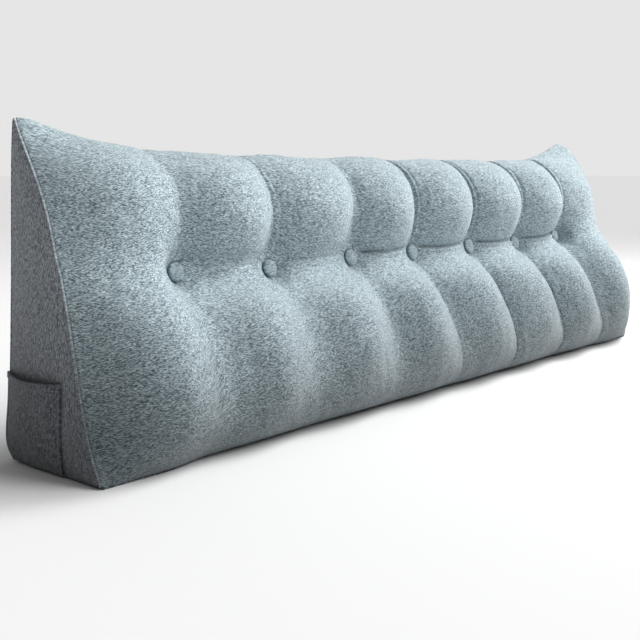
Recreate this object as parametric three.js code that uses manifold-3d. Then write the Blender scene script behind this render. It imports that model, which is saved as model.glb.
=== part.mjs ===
// A long wedge backrest pillow that stands on its base: buttoned front, triangular ends, one end pocket.
// Millimetres, +Z up. X runs along the pillow, Y from its front to its back.
import * as THREE from 'three';
import Module from 'manifold-3d';
import { LoftGeometry } from 'three/addons/geometries/LoftGeometry.js';
import { mergeVertices } from 'three/addons/utils/BufferGeometryUtils.js';

const wasm = await Module();
wasm.setup();

// Driving dimensions
const LENGTH = 1500; // from end seam to end seam
const CLOTH = 2; // thickness of a cloth panel
const GAP = 0.3; // clearance between neighbouring pieces
const SKIN_GAP = 0.6; // clearance where a panel or patch follows another piece's swelling face
const END_CROWN = 12; // how far the filling swells an end past its seam
const PANEL_RIM = 0.996; // an end panel's rim, as a share of its seam's size
const HUB = [ 132, 150 ]; // y, z of the point of an end that stands out furthest

const HALF = LENGTH / 2;
const FLOOR = CLOTH + GAP; // height of the filled body above the ground, on its base cloth

// One cross-section, from the front foot up over the crown and down the back, as y and z of four
// outlines: crest in the middle of an inner bay, valley at a sewn column, outer in the middle of an
// end bay, where the waist fold has died out, and end at an end seam. pleat is 1 where the cloth is
// drawn into a sharp valley and 0 where the valley is soft. reach says how far the end's own outline
// carries into its bay.
const OUTLINE = [
	// name, crest, valley, outer, end, pleat, reach
	[ 'foot', [ 14, 0 ], [ 15, 0 ], [ - 6, 0 ], [ - 3, 0 ], 0, 180 ],
	[ 'shin', [ - 20, 18 ], [ - 17, 19 ], [ - 24, 18 ], [ 8, 20 ], 0, 42 ],
	[ 'knee', [ - 41, 48 ], [ - 31, 49 ], [ - 44, 48 ], [ 21, 46 ], 0, 42 ],
	[ 'belly', [ - 50, 92 ], [ - 23, 91 ], [ - 54, 92 ], [ 35, 90 ], 0.1, 42 ],
	[ 'lap', [ - 42, 138 ], [ - 1, 138 ], [ - 48, 138 ], [ 48, 138 ], 0.2, 42 ],
	[ 'shelf', [ - 13, 188 ], [ 32, 188 ], [ - 22, 188 ], [ 61, 188 ], 0.4, 42 ],
	[ 'sill', [ 56, 230 ], [ 70, 226 ], [ 14, 228 ], [ 73, 227 ], 0.7, 42 ],
	[ 'crease', [ 66, 251 ], [ 88, 252 ], [ 35, 252 ], [ 81, 252 ], 1, 42 ],
	[ 'eave', [ 49, 274 ], [ 80, 272 ], [ 46, 274 ], [ 90, 272 ], 1, 42 ],
	[ 'chest', [ 34, 314 ], [ 70, 314 ], [ 50, 313 ], [ 104, 312 ], 1, 42 ],
	[ 'breast', [ 42, 350 ], [ 75, 350 ], [ 56, 352 ], [ 121, 350 ], 1, 45 ],
	[ 'shoulder', [ 66, 384 ], [ 94, 382 ], [ 74, 386 ], [ 141, 384 ], 1, 60 ],
	[ 'brow', [ 104, 405 ], [ 118, 400 ], [ 106, 406 ], [ 160, 412 ], 1, 90 ],
	[ 'crown', [ 150, 411 ], [ 148, 409 ], [ 150, 412 ], [ 178, 439 ], 1, 115 ],
	[ 'tip', [ 180, 400 ], [ 180, 399 ], [ 180, 401 ], [ 189, 457 ], 0.5, 125 ],
	[ 'nape', [ 193, 372 ], [ 193, 372 ], [ 193, 372 ], [ 193, 428 ], 0.2, 120 ],
	[ 'back', [ 199, 240 ], [ 195, 240 ], [ 199, 240 ], [ 195, 240 ], 0.2, 60 ],
	[ 'loin', [ 203, 90 ], [ 199, 90 ], [ 203, 90 ], [ 199, 90 ], 0.2, 60 ],
	[ 'heel', [ 206, 22 ], [ 202, 22 ], [ 206, 22 ], [ 202, 22 ], 0.2, 60 ],
	[ 'toe', [ 182, 0 ], [ 182, 0 ], [ 182, 0 ], [ 182, 0 ], 0.2, 60 ],
].map( ( [ name, crest, valley, outer, end, pleat, reach ] ) => (
	{ name, crest, valley, outer, end, pleat, reach }
) );
const RIGHT_END = { // where the right end's outline is its own
	foot: [ 6, 0 ], shin: [ 4, 20 ], eave: [ 86, 272 ], chest: [ 88, 312 ], breast: [ 100, 350 ],
	shoulder: [ 110, 384 ], brow: [ 126, 412 ], crown: [ 146, 439 ], tip: [ 180, 457 ],
};
const WAIST = 240; // rows below this height are drawn in as their column's depth and tuck say
const END_FADE = 1.2; // power of the end outline's fade into its bay
const END_BAY = 92; // from the outermost column to the middle of an end bay
const ROW_STEPS = 2; // spline steps between two rows of the outline
const BAY_STEPS = [ 0, 0.12, 0.35, 0.66, 1 ]; // section places from a column to mid-bay
const END_STEPS = [ 0, 8, 22, 42, 66 ]; // section places in from an end seam

// Sewn columns with their covered buttons, as far from even as they are sewn. y and z place a
// button's flat back and swell is the fullness of the bay on the column's right. Below the button,
// depth is the share of the valley's full depth and tuck how sharply the cloth is drawn in, from 0,
// soft, to 1, sharp.
const COLUMNS = [
	{ x: - 566, y: 80, z: 244, swell: 1.04, tuck: 0.05, depth: 0.62 },
	{ x: - 377, y: 80, z: 236, swell: 0.97, tuck: 0.15, depth: 0.72 },
	{ x: - 180, y: 80, z: 240, swell: 1.02, tuck: 0.45, depth: 0.86 },
	{ x: - 3, y: 80, z: 239, swell: 1.05, tuck: 0.65, depth: 1 },
	{ x: 189, y: 81, z: 239, swell: 0.98, tuck: 0.9, depth: 1 },
	{ x: 376, y: 86, z: 236, swell: 1.03, tuck: 0.8, depth: 1 },
	{ x: 556, y: 88, z: 244, swell: 1, tuck: 0.7, depth: 1 },
];
const FIRST_SWELL = 1; // fullness of the bay left of the first column
const BUTTON = { radius: 13.6, height: 8, lift: 15, sides: 20 };
const SEAT_CUT = 30; // how far the cut of a button's pit reaches, past all of the cloth before it

// A button's half profile from its flat back to its crown: share of its radius, share of its height
const BUTTON_PROFILE = [ [ 0, 0 ], [ 0.8, 0 ], [ 1, 0.35 ], [ 0.9, 0.61 ], [ 0.62, 0.87 ], [ 0, 1 ] ];

// Patch pocket on the left end: where its front seam and its mouth lie, how far its back seam is set
// in from the end's edge, the flat seam at its edges, how far its cloth stands open and within what
// run it gets there, and its turned hem with the step up onto it
const POCKET = {
	front: 71, mouth: 119, bottom: FLOOR + 1, inset: 2, seam: 6,
	stand: 11, run: 7, hem: 10, hemCloth: 3, hemStep: 0.8,
};
const POCKET_HEIGHTS = [ 0, 3, 8, 15, 26, 42, 62, 84 ]; // courses of the pocket above its bottom seam
const POCKET_PLACES = [ 0, 0.04, 0.08, 0.13, 0.2, 0.3, 0.5 ]; // shares of its width, from either side

const CLOTH_BLUE = 0xa6b6bd;
const CLOTH_SHADE = 0x8f9ba3;

// Share of a bay's puff at a place between its column (0) and its middle (1)
function puff( place, pleat ) {

	const sharp = 1 - ( 1 - place ) ** 2;
	const soft = 0.5 - 0.5 * Math.cos( Math.PI * place );
	return THREE.MathUtils.lerp( soft, sharp, pleat );

}

// Where x lies between the sewn columns: the share of the way from its nearest column to mid-bay,
// the bay's fullness, how sharply and how deeply it is tucked, and whether it is an end bay
function bayAt( x ) {

	const passed = COLUMNS.filter( ( column ) => column.x <= x ).length;
	const swell = passed === 0 ? FIRST_SWELL : COLUMNS[ passed - 1 ].swell;
	const isEnd = passed === 0 || passed === COLUMNS.length;
	const distances = COLUMNS.map( ( column ) => Math.abs( column.x - x ) );
	const nearest = Math.min( ...distances );
	const { tuck, depth } = COLUMNS[ distances.indexOf( nearest ) ];
	const half = isEnd ? END_BAY : ( COLUMNS[ passed ].x - COLUMNS[ passed - 1 ].x ) / 2;
	return { place: Math.min( nearest / half, 1 ), swell, tuck, depth, isEnd };

}

// One outline row's y and z at x along the pillow
function rowPoint( row, x ) {

	const { lerp } = THREE.MathUtils;
	const { place, swell, tuck, depth, isEnd } = bayAt( x );
	const middle = isEnd ? row.outer : row.crest;
	const end = ( x > 0 && RIGHT_END[ row.name ] ) || row.end;
	const isLow = row.crest[ 1 ] < WAIST;
	const pleat = isLow ? lerp( tuck, 1, row.pleat ) : row.pleat;
	const share = puff( place, pleat ) * lerp( 1, swell, place );
	const fromEnd = HALF - Math.abs( x );
	const inner = 1 - Math.exp( - ( ( fromEnd / row.reach ) ** END_FADE ) );
	return [ 0, 1 ].map( ( axis ) => {

		const valley = lerp( row.crest[ axis ], row.valley[ axis ], isLow ? depth : 1 );
		const bayValue = lerp( valley, middle[ axis ], share );
		return lerp( end[ axis ], bayValue, inner );

	} );

}

// Points of the cross-section at x, foot to toe
function outlineAt( x ) {

	const knots = OUTLINE.map( ( row ) => {

		const [ y, z ] = rowPoint( row, x );
		return new THREE.Vector3( x, y, z );

	} );
	const curve = new THREE.CatmullRomCurve3( knots, false, 'centripetal' );
	const points = curve.getPoints( ( OUTLINE.length - 1 ) * ROW_STEPS );
	for ( const point of points ) point.z = Math.max( point.z, FLOOR );
	return points;

}

// Places along the pillow that get a cross-section, close together at each column and end
function stations() {

	const places = new Set( END_STEPS.flatMap( ( step ) => [ step - HALF, HALF - step ] ) );
	for ( const [ index, { x } ] of COLUMNS.entries() ) {

		const left = index === 0 ? END_BAY : ( x - COLUMNS[ index - 1 ].x ) / 2;
		const right = index === COLUMNS.length - 1 ? END_BAY : ( COLUMNS[ index + 1 ].x - x ) / 2;
		for ( const step of BAY_STEPS ) places.add( x - step * left ).add( x + step * right );

	}

	return [ ...places ].sort( ( a, b ) => a - b );

}

// Rings of an end's swelling, from its seam (1) to its hub (0)
const RINGS = [ 1, 0.96, 0.88, 0.74, 0.55, 0.3, 0 ];

// How far an end stands out past its seam at a ring, on the flat faces between the rings
function swellAt( ring ) {

	const inner = Math.max( RINGS.findIndex( ( value ) => value <= ring ), 1 );
	const [ from, to ] = [ RINGS[ inner - 1 ], RINGS[ inner ] ];
	const swell = THREE.MathUtils.mapLinear( ring, from, to, 1 - from ** 3, 1 - to ** 3 );
	return END_CROWN * swell;

}

// One ring of an end: the end outline drawn in towards the hub and stood out past the seam
function endRing( side, ring, lift = 0 ) {

	return outlineAt( side * HALF ).map( ( { y, z } ) => new THREE.Vector3(
		side * ( HALF + swellAt( ring ) + lift ),
		HUB[ 0 ] + ( y - HUB[ 0 ] ) * ring,
		HUB[ 1 ] + ( z - HUB[ 1 ] ) * ring,
	) );

}

// A closed solid for cutting, with the faces that a hub collapses left out
function toManifold( geometry ) {

	const bare = new THREE.BufferGeometry().copy( geometry );
	for ( const name of [ 'normal', 'uv' ] ) bare.deleteAttribute( name );
	const merged = mergeVertices( bare, 1e-3 );
	const corners = [ ...merged.index.array ];
	const triVerts = [];
	for ( let at = 0; at < corners.length; at += 3 ) {

		const face = corners.slice( at, at + 3 );
		if ( new Set( face ).size === 3 ) triVerts.push( ...face );

	}

	return new wasm.Manifold( new wasm.Mesh( {
		numProp: 3,
		vertProperties: new Float32Array( merged.attributes.position.array ),
		triVerts: new Uint32Array( triVerts ),
	} ) );

}

function toGeometry( solid ) {

	const { vertProperties, triVerts } = solid.getMesh();
	const geometry = new THREE.BufferGeometry();
	geometry.setAttribute( 'position', new THREE.Float32BufferAttribute( vertProperties, 3 ) );
	geometry.setIndex( new THREE.Uint32BufferAttribute( triVerts, 1 ) );
	geometry.computeVertexNormals();
	return geometry;

}

// Counter-clockwise sections, as a loft along +X needs them
function loft( sections, options ) {

	return new LoftGeometry( sections.map( ( section ) => [ ...section ].reverse() ), options );

}

// The filled body: one closed skin from the left end's hub to the right end's
function cushionGeometry() {

	const left = [ ...RINGS ].reverse().map( ( ring ) => endRing( - 1, ring ) );
	const right = RINGS.map( ( ring ) => endRing( 1, ring ) );
	const bays = stations().slice( 1, - 1 ).map( ( x ) => outlineAt( x ) );
	let body = toManifold( loft( [ ...left, ...bays, ...right ] ) );
	for ( const column of COLUMNS ) {

		const seat = seatGeometry().applyMatrix4( buttonFrame( column ) );
		body = body.subtract( toManifold( seat ) );

	}

	return toGeometry( body );

}

// A cloth panel over an end, a cloth's thickness outside the filled body
function endPanelGeometry( side ) {

	const rings = [ PANEL_RIM, ...RINGS.slice( 1 ) ];
	const inner = [ ...rings ].reverse().map( ( ring ) => endRing( side, ring, GAP ) );
	const outer = rings.map( ( ring ) => endRing( side, ring, GAP + CLOTH ) );
	const sections = [ ...inner, ...outer ];
	return loft( side > 0 ? sections : sections.reverse() );

}

// A thin closed section: a run of points and the same run stood off along its outward normals
function wrap( run, near, far ) {

	const offset = ( distance ) => run.map( ( point, index ) => {

		const before = run[ Math.max( index - 1, 0 ) ];
		const after = run[ Math.min( index + 1, run.length - 1 ) ];
		const normal = new THREE.Vector3( 0, before.z - after.z, after.y - before.y ).normalize();
		return point.clone().addScaledVector( normal, distance );

	} );
	return [ ...offset( far ), ...offset( near ).reverse() ];

}

// The back cloth, from the crown's back edge down to the heel
function backPanelGeometry() {

	const rows = OUTLINE.map( ( row ) => row.name );
	const from = rows.indexOf( 'nape' ) * ROW_STEPS;
	const to = rows.indexOf( 'heel' ) * ROW_STEPS;
	const sections = stations().map( ( x ) => {

		const run = outlineAt( x ).slice( from, to + 1 );
		return wrap( run, SKIN_GAP, SKIN_GAP + CLOTH );

	} );
	return loft( sections, { capStart: true, capEnd: true } );

}

// The flat base cloth under the whole body
function basePanelGeometry() {

	const sections = stations().map( ( x ) => {

		const front = rowPoint( OUTLINE.at( 0 ), x )[ 0 ];
		const back = rowPoint( OUTLINE.at( - 1 ), x )[ 0 ];
		const corners = [ [ front, 0 ], [ front, CLOTH ], [ back, CLOTH ], [ back, 0 ] ];
		return corners.map( ( [ y, z ] ) => new THREE.Vector3( x, y, z ) );

	} );
	return loft( sections, { capStart: true, capEnd: true } );

}

// How far the left end panel's outer face stands out past the seam at y and z
function endFaceAt( y, z ) {

	const seam = outlineAt( - HALF ).map( ( point ) => [ point.y - HUB[ 0 ], point.z - HUB[ 1 ] ] );
	const place = [ y - HUB[ 0 ], z - HUB[ 1 ] ];
	const cross = ( a, b ) => a[ 0 ] * b[ 1 ] - a[ 1 ] * b[ 0 ];
	for ( const [ index, from ] of seam.entries() ) {

		const to = seam[ ( index + 1 ) % seam.length ];
		const shares = [ cross( place, to ) / cross( from, to ), cross( from, place ) / cross( from, to ) ];
		if ( Math.min( ...shares ) < 0 ) continue;
		return GAP + CLOTH + swellAt( Math.min( shares[ 0 ] + shares[ 1 ], 1 ) );

	}

	throw new Error( 'no edge of the end outline faces this place' );

}

// The end outline's back edge at a height
function backEdgeAt( z ) {

	const seam = outlineAt( - HALF ).filter( ( point ) => point.y > HUB[ 0 ] );
	const index = seam.findIndex( ( point, at ) => at > 0 && seam[ at - 1 ].z >= z && point.z <= z );
	const [ above, below ] = [ seam[ index - 1 ], seam[ index ] ];
	return THREE.MathUtils.mapLinear( z, below.z, above.z, below.y, above.y );

}

// A patch pocket sewn to the left end on three sides, its mouth standing open
function pocketGeometry() {

	const { front, mouth, bottom, inset, seam, stand, run, hem, hemCloth, hemStep } = POCKET;
	const hemFoot = mouth - hem;
	const courses = POCKET_HEIGHTS.map( ( height ) => bottom + height );
	const heights = [ ...courses, hemFoot, hemFoot + hemStep, mouth ];
	const mirrored = POCKET_PLACES.slice( 0, - 1 ).reverse().map( ( place ) => 1 - place );
	const places = [ ...POCKET_PLACES, ...mirrored ];
	const sections = heights.map( ( z ) => {

		const back = backEdgeAt( z ) - inset;
		const cloth = z > hemFoot ? hemCloth : CLOTH;
		const inner = places.map( ( place ) => {

			const y = THREE.MathUtils.lerp( front, back, place );
			const fromSide = Math.max( 0, Math.min( y - front, back - y ) - seam );
			const open = ( 1 - Math.exp( - fromSide / run ) ) * ( 1 - Math.exp( ( bottom - z ) / run ) );
			return new THREE.Vector3( - HALF - endFaceAt( y, z ) - SKIN_GAP - stand * open, y, z );

		} );
		const outer = inner.map( ( point ) => new THREE.Vector3( point.x - cloth, point.y, z ) );
		return [ ...outer.reverse(), ...inner ];

	} );
	return new LoftGeometry( sections, { capStart: true, capEnd: true } );

}

// Place and lean of a covered button: its own +Y axis becomes the way it faces
function buttonFrame( { x, y, z } ) {

	const turn = THREE.MathUtils.degToRad( 180 - BUTTON.lift );
	return new THREE.Matrix4().makeRotationX( turn ).setPosition( x, y, z );

}

// Domed button: flat back, round edge, low crown
function buttonGeometry() {

	const profile = BUTTON_PROFILE.map( ( [ across, up ] ) => (
		new THREE.Vector2( across * BUTTON.radius, up * BUTTON.height )
	) );
	return new THREE.LatheGeometry( profile, BUTTON.sides );

}

// The pit that a button is pulled into
function seatGeometry() {

	const reach = BUTTON.radius + 2 * GAP;
	const profile = [ [ 0, - GAP ], [ reach, - GAP ], [ reach, SEAT_CUT ], [ 0, SEAT_CUT ] ]
		.map( ( [ across, up ] ) => new THREE.Vector2( across, up ) );
	return new THREE.LatheGeometry( profile, BUTTON.sides );

}

const pillow = new THREE.Group();

function add( name, geometry, color, roughness ) {

	const material = new THREE.MeshStandardMaterial( { color, roughness, metalness: 0 } );
	const mesh = new THREE.Mesh( geometry, material );
	mesh.name = name;
	pillow.add( mesh );
	return mesh;

}

add( 'cushion', cushionGeometry(), CLOTH_BLUE, 0.95 );
add( 'end_panel_left', endPanelGeometry( - 1 ), CLOTH_SHADE, 0.95 );
add( 'end_panel_right', endPanelGeometry( 1 ), CLOTH_SHADE, 0.95 );
add( 'back_panel', backPanelGeometry(), CLOTH_BLUE, 0.95 );
add( 'base_panel', basePanelGeometry(), CLOTH_SHADE, 0.95 );
add( 'pocket', pocketGeometry(), CLOTH_SHADE, 0.95 );
for ( const [ index, column ] of COLUMNS.entries() ) {

	add( `button_${ index + 1 }`, buttonGeometry(), CLOTH_BLUE, 0.9 ).applyMatrix4( buttonFrame( column ) );

}

// The origin is the middle of the pillow's outer box, on the ground
const box = new THREE.Box3().setFromObject( pillow );
const middle = box.getCenter( new THREE.Vector3() );
pillow.position.set( - middle.x, - middle.y, - box.min.z );

export default pillow;
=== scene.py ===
"""Long wedge-shaped backrest pillow with seven covered buttons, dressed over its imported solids."""
import logging
import math
from dataclasses import dataclass, field
from enum import Enum

import bpy
import numpy as np
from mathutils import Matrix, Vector


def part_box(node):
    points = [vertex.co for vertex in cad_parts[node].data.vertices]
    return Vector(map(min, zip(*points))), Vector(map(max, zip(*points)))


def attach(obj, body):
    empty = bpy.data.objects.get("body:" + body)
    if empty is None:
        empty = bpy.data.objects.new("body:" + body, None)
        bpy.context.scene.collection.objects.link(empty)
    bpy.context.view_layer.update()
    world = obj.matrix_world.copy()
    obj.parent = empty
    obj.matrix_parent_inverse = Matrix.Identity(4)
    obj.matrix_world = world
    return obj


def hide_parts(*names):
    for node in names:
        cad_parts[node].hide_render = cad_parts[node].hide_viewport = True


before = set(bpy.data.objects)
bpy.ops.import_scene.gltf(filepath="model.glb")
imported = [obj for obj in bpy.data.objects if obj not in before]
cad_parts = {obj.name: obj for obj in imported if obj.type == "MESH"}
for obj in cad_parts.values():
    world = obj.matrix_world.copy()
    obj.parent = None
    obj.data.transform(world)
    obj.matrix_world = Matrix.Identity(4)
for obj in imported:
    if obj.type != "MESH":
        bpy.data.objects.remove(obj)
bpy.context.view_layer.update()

MM = 0.001
Pair = tuple[float, float]
Triple = tuple[float, float, float]
Colour = tuple[float, float, float, float]
Array = np.ndarray
Material = bpy.types.Material
Piece = bpy.types.Object
Tree = bpy.types.NodeTree
Socket = bpy.types.NodeSocket
log = logging.getLogger("pillow")


class Slot(Enum):
    """The record's material slots."""

    COVER = "cover_cloth"
    END = "end_cloth"
    BACK = "back_cloth"
    BASE = "base_cloth"
    POCKET = "pocket_cloth"
    BUTTON = "button_cloth"


# Shape, in millimetres from the middle of the front foot.


@dataclass(frozen=True)
class Row:
    """One height line of the cross-section: y and z in a bay, at a column and at an end seam."""

    crest: Pair
    valley: Pair
    outer: Pair
    end: Pair
    pleat: float
    reach: float


@dataclass(frozen=True)
class Column:
    """A sewn column: its place, the bay on its right and how sharply its cloth is drawn in."""

    x: float
    y: float
    z: float
    swell: float
    depth: float
    round: float
    tuck: float
    fold: float
    low_fold: float
    waist: float


@dataclass(frozen=True)
class Crease:
    """One sewn line or the roll beside it: its height, its offset from the seam and its width."""

    height: float
    offset: float
    width: float


ROWS = (
    Row((14, 0), (15, 0), (-6, 0), (-3, 0), 0, 180),
    Row((-20, 18), (-17, 19), (-24, 18), (8, 20), 0, 42),
    Row((-41, 48), (-31, 49), (-44, 48), (21, 46), 0, 42),
    Row((-50, 92), (-23, 91), (-54, 92), (35, 90), 0.1, 42),
    Row((-42, 138), (-1, 138), (-48, 138), (48, 138), 0.2, 42),
    Row((-13, 188), (32, 188), (-22, 188), (61, 188), 0.4, 42),
    Row((56, 230), (70, 226), (14, 228), (73, 227), 0.7, 42),
    Row((66, 251), (88, 252), (35, 252), (81, 252), 1, 42),
    Row((49, 274), (80, 272), (46, 274), (90, 272), 1, 42),
    Row((34, 314), (70, 314), (50, 313), (104, 312), 1, 42),
    Row((42, 350), (75, 350), (56, 352), (121, 350), 1, 45),
    Row((66, 384), (94, 382), (74, 386), (141, 384), 1, 60),
    Row((104, 405), (118, 400), (106, 406), (160, 412), 1, 90),
    Row((150, 411), (148, 409), (150, 412), (178, 439), 1, 115),
    Row((180, 400), (180, 399), (180, 401), (189, 457), 0.5, 125),
    Row((193, 372), (193, 372), (193, 372), (193, 428), 0.2, 120),
    Row((199, 240), (195, 240), (199, 240), (195, 240), 0.2, 60),
    Row((203, 90), (199, 90), (203, 90), (199, 90), 0.2, 60),
    Row((206, 22), (202, 22), (206, 22), (202, 22), 0.2, 60),
    Row((182, 0), (182, 0), (182, 0), (182, 0), 0.2, 60),
)
COLUMNS = (
    Column(-566, 80, 244, 1.04, 0.62, 0.12, 0.05, 0.1, 0.0, 0.15),
    Column(-377, 80, 236, 0.97, 0.72, 0.1, 0.15, 0.4, 0.0, 0.5),
    Column(-180, 80, 240, 1.02, 0.86, 0.1, 0.45, 0.15, 0.1, 1.0),
    Column(-3, 80, 239, 1.05, 1, 0.05, 0.65, 0.8, 0.3, 1.0),
    Column(189, 81, 239, 0.98, 1, 0.02, 0.9, 1.2, 0.9, 1.0),
    Column(376, 86, 236, 1.03, 1, 0.04, 0.8, 1.0, 0.6, 0.9),
    Column(556, 88, 244, 1.0, 1, 0.05, 0.7, 0.9, 0.4, 0.35),
)
# Offsets of the upper creases are shares of the distance to the second crease line.
UPPER_CREASES = (
    Crease(-5.0, 0, 3.2),
    Crease(-2.0, 1, 2.2),
    Crease(1.1, 0.5, 3.2),
    Crease(-1.0, -1.1, 2.8),
)
LOWER_CREASE = Crease(-3.0, 0, 3.4)
WAIST_CREASES = (
    Crease(-8.0, 5, 3.4),
    Crease(2.2, 14, 9),
    Crease(1.6, -1, 3.0),
    Crease(-2.4, -6.5, 2.4),
)


@dataclass(frozen=True)
class PillowForm:
    """The filled body's own shape, which every cloth piece follows.

    Attributes:
        gap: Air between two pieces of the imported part.
        skin_gap: Air behind the back cloth.
        end_crown: How far an end stands out past its seam.
        end_run: Distance from the seam over which an end rises.
        end_bay: Width over which an end bay fills out from its column.
        end_fade: How gently the form goes over into an end seam.
        waist: Number of the first row above the waist crease.
        hub: y and z of the middle of an end.
        right_end: Shifts in y of the right end's seam by row number.
        ear_lift: Fullness of the top edge beside the left ear.
        ear_run: Distance from the left seam at which it is fullest.
    """

    length: float = 1500
    cloth: float = 2
    gap: float = 0.3
    skin_gap: float = 0.6
    end_crown: float = 9
    end_run: float = 34
    end_bay: float = 92
    end_fade: float = 1.2
    waist: int = 7
    hub: Pair = (132, 150)
    ear_lift: float = 6.5
    ear_run: float = 55
    right_end: dict[int, float] = field(
        default_factory=lambda: {
            0: 9, 1: -4, 8: -4, 9: -16, 10: -21, 11: -31, 12: -34, 13: -32, 14: -9
        }
    )

    @property
    def half(self) -> float:
        """Distance from the middle to an end seam."""
        return self.length / 2

    @property
    def floor(self) -> float:
        """Height of the filled body above the ground."""
        return self.cloth + self.gap

    def knots(self, x: Array) -> Array:
        """Gives the y and z of each row at places along the pillow.

        Args:
            x: Places along the pillow.

        Returns:
            An array of places by rows by two.
        """
        seams = np.array([column.x for column in COLUMNS])
        passed = np.searchsorted(seams, x, side="right")
        is_end = (passed == 0) | (passed == len(COLUMNS))
        swell = np.array([1.0] + [column.swell for column in COLUMNS])[passed]
        widths = np.diff(seams) / 2
        half_bay = np.where(is_end, self.end_bay, widths[np.clip(passed - 1, 0, len(widths) - 1)])
        off = np.abs(x[:, None] - seams[None])
        nearest = off.argmin(1)
        place = np.minimum(off.min(1) / half_bay, 1)
        manner = np.array([(column.round, column.tuck, column.depth) for column in COLUMNS])
        ease, tuck, depth = manner[nearest].T
        place = (np.sqrt(place**2 + ease**2) - ease) / (np.sqrt(1 + ease**2) - ease)
        sharp = 1 - (1 - place) ** 2
        soft = 0.5 - 0.5 * np.cos(np.pi * place)
        from_end = np.maximum(self.half - np.abs(x), 0)
        out = np.empty((len(x), len(ROWS), 2))
        for index, row in enumerate(ROWS):
            pleat = tuck + (1 - tuck) * row.pleat if index < self.waist else row.pleat
            share = (soft + (sharp - soft) * pleat) * (1 + (swell - 1) * place)
            inner = 1 - np.exp(-((from_end / row.reach) ** self.end_fade))
            drawn = depth if index < self.waist else 1
            for axis in (0, 1):
                middle = np.where(is_end, row.outer[axis], row.crest[axis])
                valley = row.crest[axis] + (row.valley[axis] - row.crest[axis]) * drawn
                value = valley + (middle - valley) * share
                end = row.end[axis] + np.where(x > 0, self.right_end.get(index, 0), 0) * (axis == 0)
                out[:, index, axis] = end + (value - end) * inner
            near_ear = from_end / self.ear_run * np.exp(1 - from_end / self.ear_run) * (x < 0)
            out[:, index, 1] += self.ear_lift * near_ear * np.clip((row.end[1] - 300) / 130, 0, 1)
        return out

    def surface(self, x: Array, rows: Array) -> Array:
        """Gives points on the body where cross-sections meet height lines.

        Args:
            x: Places along the pillow.
            rows: Height lines as row numbers with fractions, 0 at the foot.

        Returns:
            An array of places by height lines by three.
        """
        knots = self.knots(x)
        first = 2 * knots[:, :1] - knots[:, 1:2]
        last = 2 * knots[:, -1:] - knots[:, -2:-1]
        padded = np.concatenate([first, knots, last], 1)
        span = np.clip(np.floor(rows).astype(int), 0, len(ROWS) - 2)
        u = (rows - span)[None, :, None]
        p0, p1, p2, p3 = (padded[:, span + step] for step in range(4))
        pairs = ((p0, p1), (p1, p2), (p2, p3))
        d0, d1, d2 = (np.linalg.norm(b - a, axis=2, keepdims=True) ** 0.5 for a, b in pairs)
        t1 = ((p1 - p0) / d0 - (p2 - p0) / (d0 + d1) + (p2 - p1) / d1) * d1
        t2 = ((p2 - p1) / d1 - (p3 - p1) / (d1 + d2) + (p3 - p2) / d2) * d1
        yz = (
            p1
            + t1 * u
            + (3 * (p2 - p1) - 2 * t1 - t2) * u**2
            + (2 * (p1 - p2) + t1 + t2) * u**3
        )
        out = np.empty((len(x), len(rows), 3))
        out[..., 0] = x[:, None]
        out[..., 1] = yz[..., 0]
        out[..., 2] = np.maximum(yz[..., 1], self.floor)
        return out

    def dome(self, side: int, points: Array) -> Array:
        """Gives how far an end stands out past its seam.

        Args:
            side: -1 for the left end, 1 for the right end.
            points: Points on that end, ending in three.

        Returns:
            Heights that fall off smoothly towards the front, back and bottom seams.
        """
        seam = self.end_edge(side, np.linspace(0, len(ROWS) - 1, 153))
        tip = int(seam[:, 2].argmax())
        y, z = points[..., 1], points[..., 2]
        front = np.interp(z, seam[: tip + 1, 2], seam[: tip + 1, 1])
        back = np.interp(z, seam[:tip:-1, 2], seam[:tip:-1, 1])
        gaps = np.maximum(np.stack([y - front, back - y, z - self.floor]), 0.01)
        near = (gaps**-2.0).sum(0) ** -0.5
        return self.end_crown * (1 - np.exp(-near / self.end_run))

    def end_edge(self, side: int, rows: Array, base: int = 0) -> Array:
        """Gives the end seam's points on the height lines.

        Args:
            side: -1 for the left end, 1 for the right end.
            rows: Height lines, foot to toe.
            base: Number of points to add along the bottom seam, toe back to foot.

        Returns:
            An array of points by three.
        """
        edge = self.surface(np.array([side * self.half]), rows)[0]
        shares = np.linspace(0, 1, base + 2)[1:-1, None]
        return np.concatenate([edge, edge[-1:] + (edge[:1] - edge[-1:]) * shares])


FORM = PillowForm()


def place_shift() -> Array:
    """Where the form's origin lies in the frame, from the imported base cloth, in millimetres."""
    low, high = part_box("base_panel")
    return np.array([(low.x + high.x) / 2 / MM, high.y / MM - ROWS[-1].end[0], 0])


SHIFT = place_shift()


# Meshes.


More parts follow.
